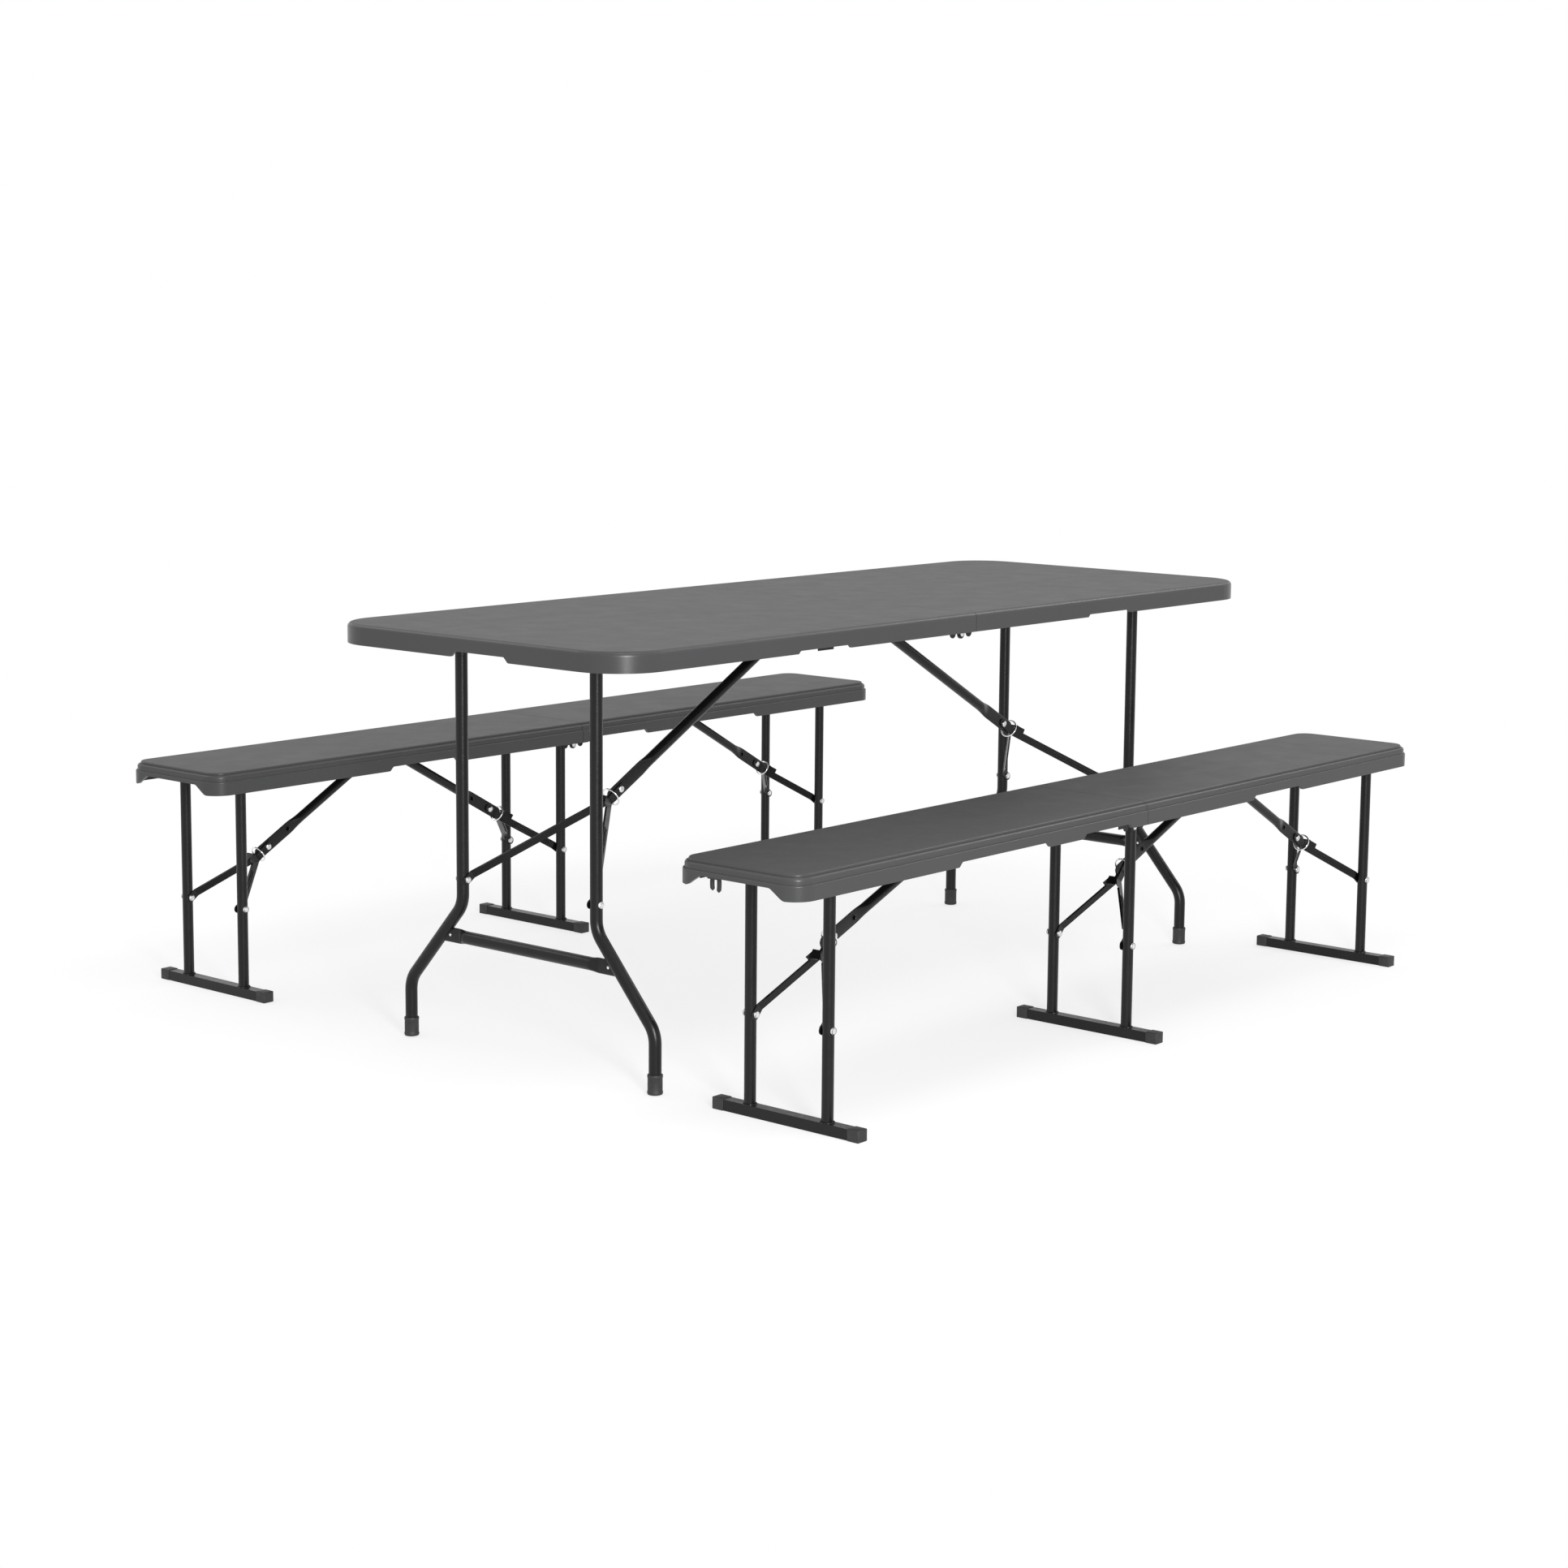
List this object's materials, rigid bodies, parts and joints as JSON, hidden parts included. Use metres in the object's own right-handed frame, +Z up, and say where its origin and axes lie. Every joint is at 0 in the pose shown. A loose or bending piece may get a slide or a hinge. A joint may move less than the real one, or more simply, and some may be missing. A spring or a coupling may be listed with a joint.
{
  "type": "picnic table",
  "caption": "Folding picnic table with two separate folding benches: moulded tops that fold in half, tubular legs that fold under, and elbowed braces locked by wire rings.",
  "frame": {"origin": "on the floor, at the middle of the footprint of the whole set, table and both benches", "axes": "+Z up, +X along the table and the benches towards half b of the table, +Y across the table towards bench two"},
  "size_m": [1.8754, 1.661, 0.725],
  "materials": {
    "moulded_top": "fine-textured moulded polyethylene, dark grey",
    "powder_coat": "satin black powder coat",
    "zinc": "bright zinc-plated rivets",
    "ring_chrome": "chrome-plated wire",
    "black_cap": "black foot caps and clips"
  },
  "bodies": {
    "table_half_a": {"table_top_a": "moulded_top", "table_frame_a": "powder_coat", "table_brace_pin_a": "zinc", "table_fold_pins": "zinc"},
    "table_half_b": {"table_top_b": "moulded_top", "table_frame_b": "powder_coat", "table_brace_pin_b": "zinc"},
    "table_leg_a": {"table_leg_a_frame": "powder_coat", "table_leg_a_rivets": "zinc", "table_leg_a_crossbar": "powder_coat", "table_leg_a_feet": "black_cap"},
    "table_leg_a_upper": {"table_leg_a_upper_brace": "powder_coat", "table_leg_a_elbow_rivet": "zinc"},
    "table_leg_a_lower": {"table_leg_a_lower_brace": "powder_coat"},
    "table_leg_a_ring": {"table_leg_a_lock_ring": "ring_chrome"},
    "table_leg_b": {"table_leg_b_frame": "powder_coat", "table_leg_b_rivets": "zinc", "table_leg_b_crossbar": "powder_coat", "table_leg_b_feet": "black_cap"},
    "table_leg_b_upper": {"table_leg_b_upper_brace": "powder_coat", "table_leg_b_elbow_rivet": "zinc"},
    "table_leg_b_lower": {"table_leg_b_lower_brace": "powder_coat"},
    "table_leg_b_ring": {"table_leg_b_lock_ring": "ring_chrome"},
    "bench_one_half_a": {"bench_one_seat_a": "moulded_top", "bench_one_frame_a": "powder_coat", "bench_one_fold_pins": "zinc", "bench_one_clip": "black_cap"},
    "bench_one_half_b": {"bench_one_seat_b": "moulded_top", "bench_one_frame_b": "powder_coat"},
    "bench_one_end_a_leg": {"bench_one_end_a_leg": "powder_coat"},
    "bench_one_end_a_upper": {"bench_one_end_a_upper_brace": "powder_coat"},
    "bench_one_end_a_lower": {"bench_one_end_a_lower_brace": "powder_coat"},
    "bench_one_end_a_ring": {"bench_one_end_a_lock_ring": "ring_chrome"},
    "bench_one_middle_leg": {"bench_one_middle_leg": "powder_coat"},
    "bench_one_middle_upper": {"bench_one_middle_upper_brace": "powder_coat"},
    "bench_one_middle_lower": {"bench_one_middle_lower_brace": "powder_coat"},
    "bench_one_middle_ring": {"bench_one_middle_lock_ring": "ring_chrome"},
    "bench_one_end_b_leg": {"bench_one_end_b_leg": "powder_coat"},
    "bench_one_end_b_upper": {"bench_one_end_b_upper_brace": "powder_coat"},
    "bench_one_end_b_lower": {"bench_one_end_b_lower_brace": "powder_coat"},
    "bench_one_end_b_ring": {"bench_one_end_b_lock_ring": "ring_chrome"},
    "bench_two_half_a": {"bench_two_seat_a": "moulded_top", "bench_two_frame_a": "powder_coat", "bench_two_fold_pins": "zinc", "bench_two_clip": "black_cap"},
    "bench_two_half_b": {"bench_two_seat_b": "moulded_top", "bench_two_frame_b": "powder_coat"},
    "bench_two_end_a_leg": {"bench_two_end_a_leg": "powder_coat"},
    "bench_two_end_a_upper": {"bench_two_end_a_upper_brace": "powder_coat"},
    "bench_two_end_a_lower": {"bench_two_end_a_lower_brace": "powder_coat"},
    "bench_two_end_a_ring": {"bench_two_end_a_lock_ring": "ring_chrome"},
    "bench_two_middle_leg": {"bench_two_middle_leg": "powder_coat"},
    "bench_two_middle_upper": {"bench_two_middle_upper_brace": "powder_coat"},
    "bench_two_middle_lower": {"bench_two_middle_lower_brace": "powder_coat"},
    "bench_two_middle_ring": {"bench_two_middle_lock_ring": "ring_chrome"},
    "bench_two_end_b_leg": {"bench_two_end_b_leg": "powder_coat"},
    "bench_two_end_b_upper": {"bench_two_end_b_upper_brace": "powder_coat"},
    "bench_two_end_b_lower": {"bench_two_end_b_lower_brace": "powder_coat"},
    "bench_two_end_b_ring": {"bench_two_end_b_lock_ring": "ring_chrome"}
  },
  "joints": [
    {"name": "table_fold", "type": "hinge", "parent": "table_half_a", "child": "table_half_b", "pos_m": [-0.03775, -0.123, 0.685], "axis": [0, 1, 0], "range_deg": [0, 90]},
    {"name": "table_leg_a_leg_fold", "type": "hinge", "parent": "table_half_a", "child": "table_leg_a", "pos_m": [-0.80075, -0.123, 0.7], "axis": [0, -1, 0], "range_deg": [0, 87.5]},
    {"name": "table_leg_a_upper_brace_turn", "type": "hinge", "parent": "table_half_a", "child": "table_leg_a_upper", "pos_m": [-0.12075, -0.123, 0.7], "axis": [0, -1, 0], "range_deg": [-29.51, 0]},
    {"name": "table_leg_a_elbow_turn", "type": "hinge", "parent": "table_leg_a_upper", "child": "table_leg_a_lower", "pos_m": [-0.58456, -0.123, 0.43804], "axis": [0, -1, 0], "range_deg": [0, 171.56]},
    {"name": "table_leg_a_lock_ring_slide", "type": "slide", "parent": "table_leg_a_upper", "child": "table_leg_a_ring", "axis": [0.8707, 0, 0.4918], "range_m": [0, 0.1905]},
    {"name": "table_leg_b_leg_fold", "type": "hinge", "parent": "table_half_b", "child": "table_leg_b", "pos_m": [0.72525, -0.123, 0.7], "axis": [0, 1, 0], "range_deg": [0, 87.5]},
    {"name": "table_leg_b_upper_brace_turn", "type": "hinge", "parent": "table_half_b", "child": "table_leg_b_upper", "pos_m": [0.04525, -0.123, 0.7], "axis": [0, 1, 0], "range_deg": [-29.51, 0]},
    {"name": "table_leg_b_elbow_turn", "type": "hinge", "parent": "table_leg_b_upper", "child": "table_leg_b_lower", "pos_m": [0.50906, -0.123, 0.43804], "axis": [0, 1, 0], "range_deg": [0, 171.56]},
    {"name": "table_leg_b_lock_ring_slide", "type": "slide", "parent": "table_leg_b_upper", "child": "table_leg_b_ring", "axis": [-0.8707, 0, 0.4918], "range_m": [0, 0.1905]},
    {"name": "bench_one_slide", "type": "slide", "parent": "table_half_a", "child": "bench_one_half_a", "axis": [0, -1, 0], "range_m": [0, 0.3]},
    {"name": "bench_one_fold", "type": "hinge", "parent": "bench_one_half_a", "child": "bench_one_half_b", "pos_m": [0.00225, -0.683, 0.376], "axis": [0, 1, 0], "range_deg": [0, 90]},
    {"name": "bench_one_end_a_leg_fold", "type": "hinge", "parent": "bench_one_half_a", "child": "bench_one_end_a_leg", "pos_m": [-0.78975, -0.683, 0.398], "axis": [0, -1, 0], "range_deg": [0, 86.5]},
    {"name": "bench_one_end_a_upper_brace_turn", "type": "hinge", "parent": "bench_one_half_a", "child": "bench_one_end_a_upper", "pos_m": [-0.40475, -0.683, 0.398], "axis": [0, -1, 0], "range_deg": [-22.53, 0]},
    {"name": "bench_one_end_a_elbow_turn", "type": "hinge", "parent": "bench_one_end_a_upper", "child": "bench_one_end_a_lower", "pos_m": [-0.68741, -0.683, 0.28106], "axis": [0, -1, 0], "range_deg": [0, 148.06]},
    {"name": "bench_one_end_a_lock_ring_slide", "type": "slide", "parent": "bench_one_end_a_upper", "child": "bench_one_end_a_ring", "axis": [0.924, 0, 0.3823], "range_m": [0, 0.1505]},
    {"name": "bench_one_middle_leg_fold", "type": "hinge", "parent": "bench_one_half_b", "child": "bench_one_middle_leg", "pos_m": [0.02025, -0.683, 0.398], "axis": [0, -1, 0], "range_deg": [0, 86.5]},
    {"name": "bench_one_middle_upper_brace_turn", "type": "hinge", "parent": "bench_one_half_b", "child": "bench_one_middle_upper", "pos_m": [0.40525, -0.683, 0.398], "axis": [0, -1, 0], "range_deg": [-22.53, 0]},
    {"name": "bench_one_middle_elbow_turn", "type": "hinge", "parent": "bench_one_middle_upper", "child": "bench_one_middle_lower", "pos_m": [0.12259, -0.683, 0.28106], "axis": [0, -1, 0], "range_deg": [0, 148.06]},
    {"name": "bench_one_middle_lock_ring_slide", "type": "slide", "parent": "bench_one_middle_upper", "child": "bench_one_middle_ring", "axis": [0.924, 0, 0.3823], "range_m": [0, 0.1505]},
    {"name": "bench_one_end_b_leg_fold", "type": "hinge", "parent": "bench_one_half_b", "child": "bench_one_end_b_leg", "pos_m": [0.83025, -0.683, 0.398], "axis": [0, 1, 0], "range_deg": [0, 86.5]},
    {"name": "bench_one_end_b_upper_brace_turn", "type": "hinge", "parent": "bench_one_half_b", "child": "bench_one_end_b_upper", "pos_m": [0.44525, -0.683, 0.398], "axis": [0, 1, 0], "range_deg": [-29.41, 0]},
    {"name": "bench_one_end_b_elbow_turn", "type": "hinge", "parent": "bench_one_end_b_upper", "child": "bench_one_end_b_lower", "pos_m": [0.70723, -0.683, 0.25063], "axis": [0, 1, 0], "range_deg": [0, 168.34]},
    {"name": "bench_one_end_b_lock_ring_slide", "type": "slide", "parent": "bench_one_end_b_upper", "child": "bench_one_end_b_ring", "axis": [-0.8716, 0, 0.4903], "range_m": [0, 0.1505]},
    {"name": "bench_two_slide", "type": "slide", "parent": "table_half_a", "child": "bench_two_half_a", "axis": [0, 1, 0], "range_m": [0, 0.3]},
    {"name": "bench_two_fold", "type": "hinge", "parent": "bench_two_half_a", "child": "bench_two_half_b", "pos_m": [0.01625, 0.683, 0.376], "axis": [0, -1, 0], "range_deg": [0, 90]},
    {"name": "bench_two_end_a_leg_fold", "type": "hinge", "parent": "bench_two_half_a", "child": "bench_two_end_a_leg", "pos_m": [0.80825, 0.683, 0.398], "axis": [0, 1, 0], "range_deg": [0, 86.5]},
    {"name": "bench_two_end_a_upper_brace_turn", "type": "hinge", "parent": "bench_two_half_a", "child": "bench_two_end_a_upper", "pos_m": [0.42325, 0.683, 0.398], "axis": [0, 1, 0], "range_deg": [-29.41, 0]},
    {"name": "bench_two_end_a_elbow_turn", "type": "hinge", "parent": "bench_two_end_a_upper", "child": "bench_two_end_a_lower", "pos_m": [0.68523, 0.683, 0.25063], "axis": [0, 1, 0], "range_deg": [0, 168.34]},
    {"name": "bench_two_end_a_lock_ring_slide", "type": "slide", "parent": "bench_two_end_a_upper", "child": "bench_two_end_a_ring", "axis": [-0.8716, 0, 0.4903], "range_m": [0, 0.1505]},
    {"name": "bench_two_middle_leg_fold", "type": "hinge", "parent": "bench_two_half_b", "child": "bench_two_middle_leg", "pos_m": [-0.00175, 0.683, 0.398], "axis": [0, 1, 0], "range_deg": [0, 86.5]},
    {"name": "bench_two_middle_upper_brace_turn", "type": "hinge", "parent": "bench_two_half_b", "child": "bench_two_middle_upper", "pos_m": [-0.38675, 0.683, 0.398], "axis": [0, 1, 0], "range_deg": [-29.41, 0]},
    {"name": "bench_two_middle_elbow_turn", "type": "hinge", "parent": "bench_two_middle_upper", "child": "bench_two_middle_lower", "pos_m": [-0.12477, 0.683, 0.25063], "axis": [0, 1, 0], "range_deg": [0, 168.34]},
    {"name": "bench_two_middle_lock_ring_slide", "type": "slide", "parent": "bench_two_middle_upper", "child": "bench_two_middle_ring", "axis": [-0.8716, 0, 0.4903], "range_m": [0, 0.1505]},
    {"name": "bench_two_end_b_leg_fold", "type": "hinge", "parent": "bench_two_half_b", "child": "bench_two_end_b_leg", "pos_m": [-0.81175, 0.683, 0.398], "axis": [0, -1, 0], "range_deg": [0, 86.5]},
    {"name": "bench_two_end_b_upper_brace_turn", "type": "hinge", "parent": "bench_two_half_b", "child": "bench_two_end_b_upper", "pos_m": [-0.42675, 0.683, 0.398], "axis": [0, -1, 0], "range_deg": [-29.41, 0]},
    {"name": "bench_two_end_b_elbow_turn", "type": "hinge", "parent": "bench_two_end_b_upper", "child": "bench_two_end_b_lower", "pos_m": [-0.68873, 0.683, 0.25063], "axis": [0, -1, 0], "range_deg": [0, 168.34]},
    {"name": "bench_two_end_b_lock_ring_slide", "type": "slide", "parent": "bench_two_end_b_upper", "child": "bench_two_end_b_ring", "axis": [0.8716, 0, 0.4903], "range_m": [0, 0.1505]}
  ],
  "couplings": [
    {"joint": "table_leg_a_upper_brace_turn", "follows": "table_leg_a_leg_fold", "ratio": -0.33666},
    {"joint": "table_leg_a_elbow_turn", "follows": "table_leg_a_leg_fold", "ratio": 1.9601},
    {"joint": "table_leg_a_lock_ring_slide", "follows": "table_leg_a_leg_fold", "m_per_rad": 0.12441},
    {"joint": "table_leg_b_upper_brace_turn", "follows": "table_leg_b_leg_fold", "ratio": -0.33666},
    {"joint": "table_leg_b_elbow_turn", "follows": "table_leg_b_leg_fold", "ratio": 1.9601},
    {"joint": "table_leg_b_lock_ring_slide", "follows": "table_leg_b_leg_fold", "m_per_rad": 0.12441},
    {"joint": "bench_one_end_a_upper_brace_turn", "follows": "bench_one_end_a_leg_fold", "ratio": -0.25983},
    {"joint": "bench_one_end_a_elbow_turn", "follows": "bench_one_end_a_leg_fold", "ratio": 1.7111},
    {"joint": "bench_one_end_a_lock_ring_slide", "follows": "bench_one_end_a_leg_fold", "m_per_rad": 0.099357},
    {"joint": "bench_one_middle_upper_brace_turn", "follows": "bench_one_middle_leg_fold", "ratio": -0.25983},
    {"joint": "bench_one_middle_elbow_turn", "follows": "bench_one_middle_leg_fold", "ratio": 1.7111},
    {"joint": "bench_one_middle_lock_ring_slide", "follows": "bench_one_middle_leg_fold", "m_per_rad": 0.099357},
    {"joint": "bench_one_end_b_upper_brace_turn", "follows": "bench_one_end_b_leg_fold", "ratio": -0.33941},
    {"joint": "bench_one_end_b_elbow_turn", "follows": "bench_one_end_b_leg_fold", "ratio": 1.9456},
    {"joint": "bench_one_end_b_lock_ring_slide", "follows": "bench_one_end_b_leg_fold", "m_per_rad": 0.099357},
    {"joint": "bench_two_end_a_upper_brace_turn", "follows": "bench_two_end_a_leg_fold", "ratio": -0.33941},
    {"joint": "bench_two_end_a_elbow_turn", "follows": "bench_two_end_a_leg_fold", "ratio": 1.9456},
    {"joint": "bench_two_end_a_lock_ring_slide", "follows": "bench_two_end_a_leg_fold", "m_per_rad": 0.099357},
    {"joint": "bench_two_middle_upper_brace_turn", "follows": "bench_two_middle_leg_fold", "ratio": -0.33941},
    {"joint": "bench_two_middle_elbow_turn", "follows": "bench_two_middle_leg_fold", "ratio": 1.9456},
    {"joint": "bench_two_middle_lock_ring_slide", "follows": "bench_two_middle_leg_fold", "m_per_rad": 0.099357},
    {"joint": "bench_two_end_b_upper_brace_turn", "follows": "bench_two_end_b_leg_fold", "ratio": -0.33941},
    {"joint": "bench_two_end_b_elbow_turn", "follows": "bench_two_end_b_leg_fold", "ratio": 1.9456},
    {"joint": "bench_two_end_b_lock_ring_slide", "follows": "bench_two_end_b_leg_fold", "m_per_rad": 0.099357}
  ]
}
